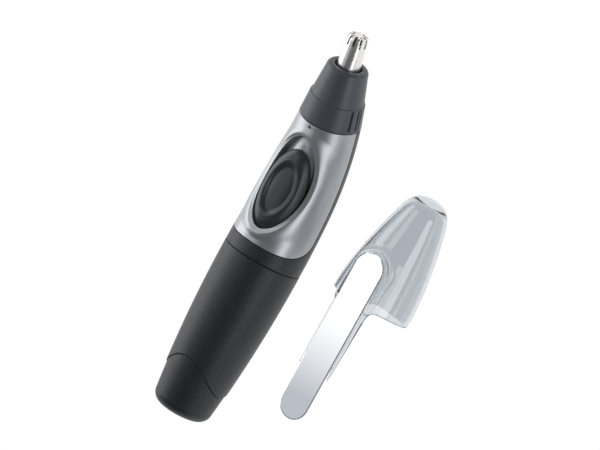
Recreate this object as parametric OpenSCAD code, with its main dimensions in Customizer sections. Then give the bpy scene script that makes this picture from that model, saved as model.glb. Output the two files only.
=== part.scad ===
// Battery nose hair trimmer lying on its back, with its clear cap beside it.
// Handle frame: +Y runs from the base to the head, +Z is the switch side, X is across.
// The origin is under the middle of the pair, on the surface that it lies on.

/* [Handle] */
// Length of the handle along its curved axis, base to head seam
handle_l = 121.5; // [118:0.5:125]
// Greatest radius of the handle
belly_r = 15; // [14.5:0.1:15.5]
// Distance of the greatest radius from the base
belly_y = 62; // [60:1:64]
// Radius of the long curve of the handle's outline
outline_r = 500; // [450:10:600]
// Radius of the rounded corner at the base
base_corner = 4.5; // [3:0.5:5]
// Start of the bend in the handle's axis
bend_start = 85; // [83:1:87]
// Angle that the head leans toward the switch side
bend_deg = 19; // [17:0.5:20]
// Wall thickness of the handle shells
wall = 1.8; // [1.6:0.1:2]

/* [Seams] */
// Top of the battery cover
cover_y = 64.2; // [63:0.2:65]
// Height of the dark band between battery cover and front cover
band_h = 5.3; // [5:0.1:6]
// Depth of the side seam below the handle's axis
side_seam = 1.5; // [1:0.1:2]
// Height of the tail seam at the front
tail_high = 21.6; // [20:0.2:23]
// Height of the tail seam at the sides
tail_low = 12.5; // [12:0.5:14]
// Step between the battery cover and the tail cap
tail_step = 0.4; // [0.3:0.1:0.5]

/* [Switch] */
// Length of the switch recess
recess_l = 36.4; // [36:0.2:38]
// Width of the switch recess
recess_w = 18.4; // [18:0.2:19]
// Distance of the recess centre from the base
recess_y = 93.5; // [93:0.5:94.5]
// Depth of the recess floor
recess_depth = 2.4; // [2.2:0.1:2.6]
// Height and width of the raised rim
rim = 1; // [0.8:0.1:1.2]
// Length of the slide button
button_l = 31.2; // [30:0.2:31.4]
// Width of the slide button
button_w = 16.6; // [16:0.2:17]
// Travel of the slide button
switch_travel = 4.2; // [3.6:0.2:4.4]

/* [Head] */
// Radius of the collar at the head seam
ring_r = 11.5; // [11.3:0.1:11.5]
// Height of the collar's lower ring
ring_h = 9.1; // [8.5:0.1:9.5]
// Height of the collar
collar_h = 21.7; // [21:0.1:22]
// Height of the blade tip above the head seam
blade_h = 34; // [33:0.5:35]
// Outer radius of the blade at the collar
blade_r = 4.35; // [4.2:0.05:4.4]
// Angle that the head turns to unlock
twist_deg = 20; // [15:5:25]
// Number of slots in the blade crown
slots = 10; // [8:1:12]

/* [Cap] */
// Length of the cap's hood
hood_l = 44; // [43:0.5:46]
// Outer radius of the hood at its rim
hood_r = 15; // [14.8:0.1:15.2]
// Wall thickness of the hood
hood_wall = 1.3; // [1.2:0.1:1.5]
// Angle between the hood's axis and its clip
hood_lean = 4.5; // [4:0.5:6]
// Length of the clip below the hood's rim
clip_drop = 47.8; // [46:0.2:49]
// Length of the clip along the hood
clip_rise = 20.5; // [19:0.5:21]
// Width of the clip
clip_w = 13.9; // [13.5:0.1:14.2]
// Depth of the clip's side walls
clip_depth = 4.3; // [4:0.1:4.5]
// Distance of the cap from the handle's axis
cap_x = 47; // [46:0.5:50]
// Distance of the hood's rim from the base
cap_y = 71.5; // [70:0.5:73]

/* [Hidden] */
$fn = 64;

// The handle's axis: straight, then an arc that ends at the head seam
bend_l = handle_l - bend_start;
bend_r = bend_l * 180 / (PI * bend_deg);
seam_y = bend_start + bend_r * sin(bend_deg);
seam_z = bend_r * (1 - cos(bend_deg));
function axis_a(l) = l < bend_start ? 0 : (l - bend_start) / bend_l * bend_deg;
function axis_y(l) = l < bend_start ? l : bend_start + bend_r * sin(axis_a(l));
function axis_z(l) = bend_r * (1 - cos(axis_a(l)));
function body_r(l) = belly_r - pow(l - belly_y, 2) / (2 * outline_r);

// Places of the pair on the surface
crown_flat = 2.9;
tip_y = seam_y + blade_h * cos(bend_deg) + crown_flat * sin(bend_deg);
middle_x = (cap_x + hood_r - belly_r) / 2;
middle_y = tip_y / 2;
clip_top = hood_r;

// Inner fits
run_gap = 0.05;
neck_r = 13.2;
neck_wall = 1.6;
neck_y = 56;
groove_y = 60;
o_ring_r = 0.6;
cell_r = 7.1;
cell_l = 49.2;
cell_y = 7.6;
spigot_r = 8.2;
spigot_h = 6.5;
head_ring_h = 3.2;
head_ring_r = 0.5;
shaft_r = 1;
motor_r = 7.5;
motor_top = -8;
motor_l = 22;
can_wall = 0.8;
screw_x = 5.4;
screw_r = 0.8;
screw_head_r = 1.5;
screw_seat = 1;
arm_r = 5.6;
stem_w = 6;
stem_l = 12;
blade_wall = 0.35;
blade_flange_h = 14;
dome_h = 1.6;

module handle() translate([-middle_x, -middle_y, belly_r]) children();
// Children drawn along +Z follow the handle's axis from the head seam; local -Y is the front
module head() handle() translate([0, seam_y, seam_z]) rotate([bend_deg - 90, 0, 0]) children();
// Children drawn along +Z follow the straight part of the axis from the base
module base() handle() rotate([-90, 0, 0]) children();
module cap() handle() translate([cap_x, cap_y, cap_z]) children();
module tube(r_out, r_in, h) {
    difference() {
        cylinder(r = r_out, h = h);
        translate([0, 0, -1]) cylinder(r = r_in, h = h + 2);
    }
}
module ring(major, minor) rotate_extrude() translate([major, 0]) circle(r = minor, $fn = 24);

// Closed loft of the handle's outline, grown by a thickness
loft_sides = 40;
loft_rings = 12;
function loft_ring(l, grow) = [for (i = [0:loft_sides - 1])
    let (t = i * 360 / loft_sides, r = body_r(l) + grow, a = axis_a(l), n = r * cos(t))
    [r * sin(t), axis_y(l) - n * sin(a), axis_z(l) + n * cos(a)]];
module loft(grow, from, to) {
    ls = [for (k = [0:loft_rings]) from + (to - from) * k / loft_rings];
    points = [for (l = ls) each loft_ring(l, grow)];
    last = loft_rings * loft_sides;
    sides = [for (k = [0:loft_rings - 1], i = [0:loft_sides - 1])
        let (a = k * loft_sides, j = (i + 1) % loft_sides)
        [a + i, a + loft_sides + i, a + loft_sides + j, a + j]];
    start_cap = [for (i = [0:loft_sides - 1]) i];
    end_cap = [for (i = [loft_sides - 1:-1:0]) last + i];
    polyhedron(points, concat(sides, [start_cap, end_cap]), convexity = 4);
}

// Side outline of the front cover's share of the handle, drawn in Y and Z
corner_h = 8.5;
corner_w = 16;
side_lift = band_h + corner_h;
module front_share() {
    top_z = 40;
    sides = [for (l = [handle_l + 3:-4:cover_y + side_lift])
        [axis_y(l) + side_seam * sin(axis_a(l)), axis_z(l) - side_seam * cos(axis_a(l))]];
    corner = [for (t = [0:10:90])
        [cover_y + side_lift - corner_h * sin(t), corner_w * (1 - cos(t)) - side_seam]];
    outline = concat(sides, corner, [[cover_y + band_h, top_z], [handle_l + 20, top_z]]);
    rotate([0, 90, 0]) rotate([0, 0, 90]) linear_extrude(60, center = true) polygon(outline);
}
// Oval prism standing over the switch
module ellipse(l, w, h) linear_extrude(h) polygon([for (t = [0:7.5:352.5])
    [w / 2 * cos(t), l / 2 * sin(t)]]);
module at_switch() translate([0, recess_y, 0]) children();

module front_cover() color("#a9aeb6") handle() difference() {
    union() {
        intersection() {
            loft(0, cover_y, handle_l);
            front_share();
        }
        intersection() {
            loft(rim, cover_y, handle_l);
            at_switch() ellipse(recess_l + 3 * rim, recess_w + 3 * rim, 30);
        }
    }
    difference() {
        loft(-wall, cover_y - 1, handle_l + 1);
        at_switch() ellipse(recess_l + 2 * wall, recess_w + 2 * wall, 30);
    }
    loft(-recess_depth - 1, cover_y - 1, handle_l + 1);
    difference() {
        at_switch() ellipse(recess_l, recess_w, 30);
        loft(-recess_depth, cover_y - 1, handle_l + 1);
    }
    at_switch() translate([-stem_w / 2, -stem_l / 2 - 4, 0]) cube([stem_w, stem_l + 8, 30]);
}
module rear_housing() color("#2c2e34") {
    handle() difference() {
        loft(0, cover_y, handle_l);
        front_share();
        loft(-wall, cover_y + 2, handle_l + 1);
        translate([0, cover_y - 1, 0]) rotate([-90, 0, 0]) cylinder(r = neck_r - neck_wall, h = 4);
    }
    base() difference() {
        translate([0, 0, neck_y]) tube(neck_r, neck_r - neck_wall, cover_y - neck_y);
        translate([0, 0, groove_y]) tube(neck_r + 1, neck_r - 2 * o_ring_r - run_gap, 1.4);
    }
}
module cell_holder() color("#d8d8d2") base() difference() {
    translate([0, 0, cell_y + 2]) tube(cell_r + 1.4, cell_r + 0.2, cell_l + 5);
    translate([-4, -20, cell_y + 8]) cube([8, 20, cell_l - 14]);
}
module motor_cradle() color("#d8d8d2") head() difference() {
    translate([0, 0, motor_top - motor_l + 1]) cylinder(r = motor_r + 1.2, h = motor_l + 2);
    translate([0, 0, motor_top - motor_l]) cylinder(r = motor_r, h = motor_l);
    translate([0, 0, motor_top - 1]) cylinder(r = 3.2, h = 6);
    translate([-20, -22, motor_top - motor_l]) cube([40, 20, motor_l - 1]);
    at_screws() {
        translate([0, 0, -1]) cylinder(r = screw_r + run_gap, h = 5);
        translate([0, 0, screw_seat]) cylinder(r = screw_head_r + run_gap, h = 5);
    }
}
module head_socket() color("#33363c") head() difference() {
    union() {
        translate([0, 0, -4]) cylinder(r = 9.4, h = 4);
        cylinder(r = spigot_r, h = spigot_h);
    }
    translate([0, 0, -5]) cylinder(r = 3, h = spigot_h + 6);
    translate([0, 0, -3]) cylinder(r = 4.4, h = 3);
    translate([0, 0, head_ring_h - 0.6]) tube(spigot_r + 1, spigot_r - 2 * head_ring_r, 1.2);
}
module shaft_seal() color("#1d1d1f") head() translate([0, 0, -2.8]) difference() {
    cylinder(r = 4.4, h = 2.6);
    translate([0, 0, -1]) cylinder(r = 2, h = 5);
}
module motor_can() color("#b9bcc0") head() difference() {
    translate([0, 0, motor_top - motor_l]) cylinder(r = motor_r, h = motor_l);
    translate([0, 0, motor_top - motor_l - can_wall]) cylinder(r = motor_r - can_wall, h = motor_l);
    translate([0, 0, motor_top - motor_l]) cylinder(r = shaft_r + run_gap, h = motor_l + 1);
    at_screws() translate([0, 0, -2]) cylinder(r = screw_r + run_gap, h = 4);
}
module motor_magnets() color("#4a4a4c") head() translate([0, 0, motor_top - motor_l + 2]) difference() {
    tube(motor_r - can_wall, arm_r + 0.3, motor_l - 6);
    for (a = [0, 90]) rotate([0, 0, a + 45]) translate([-1, -10, -1]) cube([2, 20, motor_l]);
}
module motor_end_cap() color("#ececea") head() translate([0, 0, motor_top - motor_l - 2.4])
    difference() {
        cylinder(r = motor_r - 0.3, h = 2.4);
        translate([0, 0, 0.8]) cylinder(r = shaft_r + run_gap, h = 3);
        for (side = [-1, 1]) translate([side * 4, 0, -1]) cylinder(r = 0.7, h = 6);
    }
module motor_terminals() color("#caa24a") head() for (side = [-1, 1])
    translate([side * 4, 0, motor_top - motor_l - 4]) cylinder(r = 0.6, h = 4.2);
module battery() color("#3f6f8f") base() translate([0, 0, cell_y]) {
    cylinder(r = cell_r, h = cell_l);
    translate([0, 0, cell_l]) cylinder(r = 2.6, h = 1.3);
}
module positive_contact() color("#d9dcdf") base() translate([0, 0, cell_y + cell_l + 1.3])
    intersection() {
        cylinder(r = cell_r, h = 0.5);
        translate([-3, -cell_r, 0]) cube([6, 2 * cell_r, 1]);
    }
module housing_contact() color("#d9dcdf") base() translate([0, 0, neck_y]) difference() {
    tube(neck_r - neck_wall, neck_r - neck_wall - 0.4, 16);
    translate([-20, -40 + 10.5, -1]) cube([40, 40, 20]);
}
module switch_contacts() color("#caa24a") handle() for (side = [-1, 1])
    translate([side * 3.6 - 0.8, recess_y - 17, 5.4]) cube([1.6, 17.5, 0.4]);
module detent_spring() color("#d9dcdf") handle() translate([-1.2, recess_y - 24.5, 5.4])
    difference() {
        cube([2.4, 14, 1.2]);
        translate([-1, 1, 0.3]) cube([5, 12, 1]);
    }
module at_screws() for (side = [-1, 1]) translate([side * screw_x, 0, motor_top]) children();
module cradle_screws() color("#8f9296") head() at_screws() {
    translate([0, 0, -can_wall]) cylinder(r = screw_r, h = can_wall + screw_seat);
    translate([0, 0, screw_seat]) cylinder(r = screw_head_r, h = 1);
}
button_y = recess_y - (recess_l - button_l) / 2 + 0.3;
crown_r = 15.6;
floor_gap = 0.3;
dish_w = 11.6;
dish_l = 25.6;
dish_depth = 2.4;
module switch_button() color("#26282c") handle() translate([0, button_y, 0]) difference() {
    intersection() {
        ellipse(button_l, button_w, 30);
        translate([0, -button_l, 0]) rotate([-90, 0, 0]) cylinder(r = crown_r, h = 2 * button_l);
    }
    for (moved = [0, switch_travel]) translate([0, -button_y - moved, 0])
        loft(floor_gap - recess_depth, cover_y, handle_l);
    translate([0, 0, crown_r + 0.4]) scale([dish_w / 2, dish_l / 2, dish_depth])
        sphere(r = 1, $fn = 32);
}
module switch_slider() color("#e4e2da") handle() translate([0, button_y - 0.5, 0]) union() {
    translate([-stem_w / 2 + 0.3, -stem_l / 2 + 0.5, 7]) cube([stem_w - 0.6, stem_l - 1, 6]);
    translate([-5, -9, 6.9]) cube([10, 13, 1.4]);
}
module bridging_contact() color("#caa24a") handle()
    translate([-4.6, button_y - 5.5, 5.9]) cube([9.2, 4, 1]);
module armature() color("#a0522d") head() translate([0, 0, motor_top - motor_l + 3])
    difference() {
        cylinder(r = arm_r, h = motor_l - 7);
        translate([0, 0, -1]) cylinder(r = shaft_r, h = motor_l);
        for (k = [0:2]) rotate([0, 0, 120 * k]) translate([2.4, -0.6, -1]) cube([5, 1.2, motor_l]);
    }
module motor_shaft() color("#cfd3d6") head() translate([0, 0, motor_top - motor_l - 1])
    cylinder(r = shaft_r, h = motor_l + 6);
coupling_z = motor_top + 1.6;
module drive_coupling() color("#e4e2da") head() translate([0, 0, coupling_z]) difference() {
    union() {
        cylinder(r = 2.6, h = 3.4);
        translate([-1.7, -0.6, 3.4]) cube([3.4, 1.2, 2]);
    }
    translate([0, 0, -1]) cylinder(r = shaft_r, h = 4.4);
}
module cutter_driver() color("#e4e2da") head() translate([0, 0, coupling_z + 3.7]) difference() {
    cylinder(r = 1.9, h = 8.5);
    for (a = [0:5:twist_deg]) rotate([0, 0, -a]) translate([-2.6, -0.75, -1]) cube([5.2, 1.5, 3.2]);
    translate([0, 0, 4]) cylinder(r = 1, h = 10);
}
module cutter_shaft() color("#cfd3d6") head() translate([0, 0, coupling_z + 7.7])
    cylinder(r = 1, h = 23.5);
// Coil of round wire, drawn as one sweep along a helix that may taper
module coil(r_start, r_end, h, turns, wire) {
    steps = 14 * turns;
    cut = 6;
    points = [for (k = [0:steps], i = [0:cut - 1])
        let (u = k / steps, r = r_start + (r_end - r_start) * u, t = 360 * turns * u, c = i * 360 / cut)
        [(r + wire * cos(c)) * cos(t), (r + wire * cos(c)) * sin(t), h * u + wire * sin(c)]];
    sides = [for (k = [0:steps - 1], i = [0:cut - 1])
        let (a = k * cut, j = (i + 1) % cut) [a + i, a + cut + i, a + cut + j, a + j]];
    ends = [[for (i = [0:cut - 1]) i], [for (i = [cut - 1:-1:0]) steps * cut + i]];
    polyhedron(points, concat(sides, ends), convexity = 8);
}
module cutter_spring() color("#d9dcdf") head() translate([0, 0, 6.4])
    coil(1.8, 1.8, 5, 4, 0.25);
inner_r = 3.3;
module inner_blade() color("#c9ccd0") head() translate([0, 0, 23]) difference() {
    union() {
        cylinder(r = inner_r, h = 1.2);
        tube(inner_r, inner_r - 0.5, 8.6);
        cylinder(r = 1.6, h = 4);
    }
    translate([0, 0, -1]) cylinder(r = 1, h = 6);
    for (k = [0:2]) rotate([0, 0, 60 * k]) translate([-5, -1.1, 2.2]) cube([10, 2.2, 9]);
}
module head_seal() color("#1d1d1f") head() translate([0, 0, head_ring_h])
    ring(spigot_r - head_ring_r + 0.02, head_ring_r);

// Outline of the collar's outside, from the seam to the rounded top edge
cone_r = 9.75;
top_r = 7.75;
edge_r = 1.5;
collar_lift = 0.15;
groove_w = 0.9;
groove_turns = [73, 90, 99];
module blade_collar() color("#4c5058") head() difference() {
    rotate_extrude() polygon(concat(
        [[spigot_r + 2 * run_gap, collar_lift], [ring_r, collar_lift], [ring_r - 1.3, ring_h],
         [cone_r, ring_h], [top_r, collar_h - edge_r]],
        [for (t = [10:10:90]) [top_r - edge_r + edge_r * cos(t), collar_h - edge_r + edge_r * sin(t)]],
        [[blade_r + 0.8, collar_h], [blade_r + 0.6, collar_h - 2.4], [blade_r + 0.1, collar_h - 2.4],
         [blade_r + 0.1, blade_flange_h + 1], [6.6, blade_flange_h + 1], [6.6, spigot_h + 1],
         [spigot_r + 2 * run_gap, spigot_h + 1]]));
    for (a = groove_turns) rotate([0, 0, a - 90])
        translate([ring_r - 0.9, -groove_w / 2, 1]) cube([2, groove_w, ring_h - 1.6]);
}
module blade_retainer() color("#8f9296") head() translate([0, 0, blade_flange_h - 1.6])
    tube(6.6, 4, 1.6);
module outer_blade() color("#d5d8db") head() difference() {
    rotate_extrude() polygon(concat(
        [[blade_r - blade_wall, blade_flange_h], [6.5, blade_flange_h], [6.5, blade_flange_h + 0.9],
         [blade_r, blade_flange_h + 0.9], [blade_r, collar_h]],
        [for (t = [0:15:90]) [crown_flat + 0.9 * cos(t), blade_h - dome_h + dome_h * sin(t)]],
        [[0, blade_h], [0, blade_h - blade_wall]],
        [for (t = [90:-15:0]) [crown_flat - 0.2 + 0.9 * cos(t) * 0.8,
                               blade_h - dome_h - blade_wall + dome_h * sin(t)]],
        [[blade_r - blade_wall, collar_h]]));
    for (k = [0:slots - 1]) rotate([0, 0, (k + 0.5) * 360 / slots])
        translate([1.7, -0.42, blade_h - 3.6]) cube([4, 0.84, 5]);
}
module cover_seal() color("#1d1d1f") base() translate([0, 0, groove_y + 0.7])
    ring(neck_r - o_ring_r, o_ring_r);

// Revolved outline of the battery cover and tail, grown by a thickness
function base_outline(grow, from, to) = concat(
    from > 0 ? [] : [for (t = [0:15:75]) let (r = base_corner + grow)
        [body_r(base_corner) - base_corner + r * sin(t), r * (1 - cos(t))]],
    [for (k = [0:12]) let (y = max(from, base_corner) + (to - max(from, base_corner)) * k / 12)
        [body_r(y) + grow, y]]);
module tail_share(grow) handle() translate([0, 0, -30]) linear_extrude(60) polygon(concat(
    [[-30, -5], [30, -5]],
    [for (x = [30:-2.5:-30]) [x, tail_high - (tail_high - tail_low) * pow(x / 12.6, 2) - grow]]));
module battery_cover() color("#222428") difference() {
    base() difference() {
        rotate_extrude() polygon(concat([[0, 0]], base_outline(0, 0, cover_y), [[0, cover_y]]));
        rotate_extrude() polygon(concat([[0, base_corner]],
            base_outline(-wall, base_corner, neck_y), [[0, neck_y]]));
        translate([0, 0, neck_y - 1]) cylinder(r = neck_r + run_gap, h = cover_y);
    }
    tail_share(0);
}
module tail_cap() color("#1c1e22") intersection() {
    base() difference() {
        rotate_extrude() polygon(concat([[0, 0]],
            base_outline(-tail_step, 0, tail_high + 1), [[0, tail_high + 1]]));
        rotate_extrude() polygon(concat([[0, base_corner]],
            base_outline(-wall - tail_step, base_corner, tail_high + 2), [[0, tail_high + 2]]));
    }
    tail_share(0);
}
module negative_spring() color("#d9dcdf") base() translate([0, 0, base_corner + 0.9])
    coil(5, 3, 1.7, 3, 0.3);
module cover_contact() color("#d9dcdf") base() translate([0, 0, base_corner]) cylinder(r = 7, h = 0.4);

// Hood radius at a distance below its tip
hood_full = 41;
function hood_out(d) = hood_r - (d < hood_full ? 0.0212 * pow(hood_full - d, 1.6) : 0);
// The leaning hood's lowest ring of the outline lies on the surface
function hood_low(d) = (hood_l - d) * sin(hood_lean) + hood_out(d) * cos(hood_lean);
hood_sag = max([for (d = [5:3:hood_l]) hood_low(d)]) - hood_r;
cap_z = hood_r + hood_sag - belly_r;
tip_corner = 3.2;
function hood_outline(off, tip) = concat(
    [[0, hood_l - tip]],
    [for (t = [90:-15:0]) [hood_out(4) - off - tip_corner + tip_corner * cos(t),
                           hood_l - tip - tip_corner + tip_corner * sin(t)]],
    [for (d = [5:3:hood_l]) [hood_out(d) - off, hood_l - d]],
    [[hood_r - off, 0]]);
module lean() rotate([-90 - hood_lean, 0, 0]) children();
module clip(grow, top, depth) {
    r = clip_w / 2 + grow;
    translate([0, 0, top - depth]) linear_extrude(depth) union() {
        translate([0, -clip_drop + clip_w / 2]) circle(r = r);
        translate([0, clip_rise - clip_w / 2]) circle(r = r);
        translate([-r, -clip_drop + clip_w / 2]) square([2 * r, clip_drop + clip_rise - clip_w]);
    }
}
mirror_t = 0.8;
mirror_inset = 1.05;
module cap_hood() color("#c4ccd2", 0.5) cap() difference() {
    union() {
        lean() rotate_extrude() polygon(concat(hood_outline(0, 0), [[0, 0]]));
        clip(0, clip_top, clip_depth);
    }
    lean() rotate_extrude() polygon(concat(hood_outline(hood_wall, 2.6), [[hood_r - hood_wall, -9],
                                                                         [0, -9]]));
    intersection() {
        clip(-1.1, clip_top - 2, clip_depth);
        translate([-20, -100, 0]) cube([40, 100, 40]);
    }
    clip(-mirror_inset, clip_top + 1, 1 + mirror_t);
}
module cap_mirror() color("#eef0f2") cap() clip(-mirror_inset, clip_top, mirror_t);

front_cover();
rear_housing();
cell_holder();
motor_cradle();
head_socket();
shaft_seal();
motor_can();
motor_magnets();
motor_end_cap();
motor_terminals();
battery();
positive_contact();
housing_contact();
switch_contacts();
detent_spring();
cradle_screws();
switch_button();
switch_slider();
bridging_contact();
armature();
motor_shaft();
drive_coupling();
cutter_driver();
cutter_shaft();
cutter_spring();
inner_blade();
head_seal();
blade_collar();
blade_retainer();
outer_blade();
cover_seal();
battery_cover();
tail_cap();
negative_spring();
cover_contact();
cap_hood();
cap_mirror();
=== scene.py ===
"""Nose hair trimmer and its clear cap: finished shells, materials, lights and camera round the CAD frame."""
import math

import bmesh
import bpy
import numpy as np
from mathutils import Matrix, Vector


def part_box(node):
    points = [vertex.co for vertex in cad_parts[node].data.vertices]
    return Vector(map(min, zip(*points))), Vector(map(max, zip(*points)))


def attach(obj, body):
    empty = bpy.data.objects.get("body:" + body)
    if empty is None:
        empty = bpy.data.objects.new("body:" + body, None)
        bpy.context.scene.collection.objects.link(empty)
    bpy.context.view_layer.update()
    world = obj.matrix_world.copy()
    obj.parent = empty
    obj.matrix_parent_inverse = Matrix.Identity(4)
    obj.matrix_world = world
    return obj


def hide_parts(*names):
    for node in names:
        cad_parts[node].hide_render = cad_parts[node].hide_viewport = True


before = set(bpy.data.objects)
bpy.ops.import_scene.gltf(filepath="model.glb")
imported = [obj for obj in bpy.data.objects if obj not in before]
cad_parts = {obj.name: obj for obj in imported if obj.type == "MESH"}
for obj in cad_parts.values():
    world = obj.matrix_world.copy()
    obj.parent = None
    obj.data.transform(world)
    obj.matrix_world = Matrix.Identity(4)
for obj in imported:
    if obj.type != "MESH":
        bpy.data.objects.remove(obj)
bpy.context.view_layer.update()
MM = 0.001

# Handle, in millimetres: Y from the base to the head, Z on the switch side
HANDLE_L = 121.5
BELLY_R, BELLY_Y, OUTLINE_R = 15.0, 62.0, 500.0
BEND_START, BEND = 85.0, math.radians(19)
BEND_R = (HANDLE_L - BEND_START) / BEND
WALL = 1.8
COVER_Y, BAND_H = 64.2, 5.3
SIDE_SEAM, CORNER_H, CORNER_W = 1.5, 8.5, 16.0
SEAM_GAP = 0.07
EDGE = 0.28
BASE_CORNER = 4.5
TAIL_HIGH, TAIL_LOW, TAIL_R, TAIL_STEP = 21.6, 12.5, 12.6, 0.4
NECK_Y, NECK_R, GROOVE_Y = 56.0, 13.2, 60.0
# Switch recess and slide button
RECESS_L, RECESS_W, RECESS_Y, RECESS_DEPTH = 36.4, 18.4, 93.5, 2.4
BUTTON_L, BUTTON_W, BUTTON_Y, CROWN_R = 31.2, 16.6, 91.2, 15.6
DISH_WALL, DISH_DEPTH = 0.17, 1.3
# Cutter head, in millimetres along the leaning axis above the head seam
RING_R, RING_H, CONE_R, TOP_R, COLLAR_H, COLLAR_LIFT = 11.5, 9.1, 9.75, 7.75, 21.7, 0.15
BLADE_R, BLADE_H, BLADE_WALL, CROWN_FLAT, SLOTS, SLOT_W, SLOT_H = 4.35, 34.0, 0.35, 2.9, 10, 0.84, 3.6
# Cap, in millimetres from the middle of the hood's rim
HOOD_L, HOOD_R, HOOD_WALL, HOOD_FULL, HOOD_LEAN = 44.0, 15.0, 1.3, 41.0, math.radians(4.5)
HOOD_TAPER, TAPER_POWER = 0.0212, 1.6
CLIP_DROP, CLIP_RISE, CLIP_W, CLIP_DEPTH, MIRROR_T = 47.8, 20.5, 13.9, 4.3, 0.8

# The frames of the parts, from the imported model
battery_low, battery_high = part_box("battery")
tail_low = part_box("tail_cap")[0]
mirror_low, mirror_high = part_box("cap_mirror")
HANDLE_AT = np.array([(battery_low.x + battery_high.x) / 2, tail_low.y, (battery_low.z + battery_high.z) / 2])
MIRROR_INSET = 1.05
CAP_AT = np.array([(mirror_low.x + mirror_high.x) / 2, mirror_low.y + (CLIP_DROP - MIRROR_INSET) * MM,
                   mirror_high.z - HOOD_R * MM])
SEAM_AT = np.array([0, BEND_START + BEND_R * math.sin(BEND), BEND_R * (1 - math.cos(BEND))])
HEAD_UP = np.array([0, math.cos(BEND), math.sin(BEND)])
HEAD_FRONT = np.array([0, -math.sin(BEND), math.cos(BEND)])
ACROSS = np.array([1.0, 0, 0])


# ---------------------------------------------------------------- materials

def material(name, base, roughness, metallic=0.0, grain=None, tint=0.0, tint_scale=300, coat=0.0,
             transmission=0.0, ior=1.45, anisotropic=0.0, specular=0.5):
    """Principled material with procedural colour variation and grain, both in object space."""
    mat = bpy.data.materials.new(name)
    mat.use_nodes = True
    nodes, links = mat.node_tree.nodes, mat.node_tree.links
    shader = nodes["Principled BSDF"]
    shader.inputs["Base Color"].default_value = (*base, 1)
    shader.inputs["Roughness"].default_value = roughness
    shader.inputs["Metallic"].default_value = metallic
    shader.inputs["Coat Weight"].default_value = coat
    shader.inputs["Coat Roughness"].default_value = 0.12
    shader.inputs["Transmission Weight"].default_value = transmission
    shader.inputs["IOR"].default_value = ior
    shader.inputs["Anisotropic"].default_value = anisotropic
    shader.inputs["Specular IOR Level"].default_value = specular
    place = nodes.new("ShaderNodeTexCoord")
    if tint:
        noise = nodes.new("ShaderNodeTexNoise")
        noise.inputs["Scale"].default_value = tint_scale
        noise.inputs["Detail"].default_value = 4
        ramp = nodes.new("ShaderNodeValToRGB")
        ramp.color_ramp.elements[0].position = 0.3
        ramp.color_ramp.elements[1].position = 0.7
        ramp.color_ramp.elements[0].color = (*[c * (1 - tint) for c in base], 1)
        ramp.color_ramp.elements[1].color = (*[min(1, c * (1 + tint)) for c in base], 1)
        links.new(place.outputs["Object"], noise.inputs["Vector"])
        links.new(noise.outputs["Fac"], ramp.inputs["Fac"])
        links.new(ramp.outputs["Color"], shader.inputs["Base Color"])
        rough = nodes.new("ShaderNodeMapRange")
        rough.inputs["To Min"].default_value = max(0.02, roughness * 0.9)
        rough.inputs["To Max"].default_value = roughness * 1.1
        links.new(noise.outputs["Fac"], rough.inputs["Value"])
        links.new(rough.outputs["Result"], shader.inputs["Roughness"])
    if grain:
        scale, strength, depth = grain
        noise = nodes.new("ShaderNodeTexNoise")
        noise.inputs["Scale"].default_value = scale
        noise.inputs["Detail"].default_value = 3
        bump = nodes.new("ShaderNodeBump")
        bump.inputs["Strength"].default_value = strength
        bump.inputs["Distance"].default_value = depth
        links.new(place.outputs["Object"], noise.inputs["Vector"])
        links.new(noise.outputs["Fac"], bump.inputs["Height"])
        links.new(bump.outputs["Normal"], shader.inputs["Normal"])
    return mat


def brushed(name, base, roughness, stretch):
    """Polished steel with fine lines: noise squeezed along one axis drives the roughness and a bump."""
    mat = material(name, base, roughness, metallic=1.0, anisotropic=0.4)
    nodes, links = mat.node_tree.nodes, mat.node_tree.links
    place = next(n for n in nodes if n.type == "TEX_COORD")
    scale = nodes.new("ShaderNodeMapping")
    scale.inputs["Scale"].default_value = stretch
    noise = nodes.new("ShaderNodeTexNoise")
    noise.inputs["Scale"].default_value = 1
    noise.inputs["Detail"].default_value = 5
    rough = nodes.new("ShaderNodeMapRange")
    rough.inputs["To Min"].default_value = roughness * 0.6
    rough.inputs["To Max"].default_value = roughness * 1.5
    bump = nodes.new("ShaderNodeBump")
    bump.inputs["Strength"].default_value = 0.08
    bump.inputs["Distance"].default_value = 0.00005
    shader = nodes["Principled BSDF"]
    links.new(place.outputs["Object"], scale.inputs["Vector"])
    links.new(scale.outputs["Vector"], noise.inputs["Vector"])
    links.new(noise.outputs["Fac"], rough.inputs["Value"])
    links.new(rough.outputs["Result"], shader.inputs["Roughness"])
    links.new(noise.outputs["Fac"], bump.inputs["Height"])
    links.new(bump.outputs["Normal"], shader.inputs["Normal"])
    return mat


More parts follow.
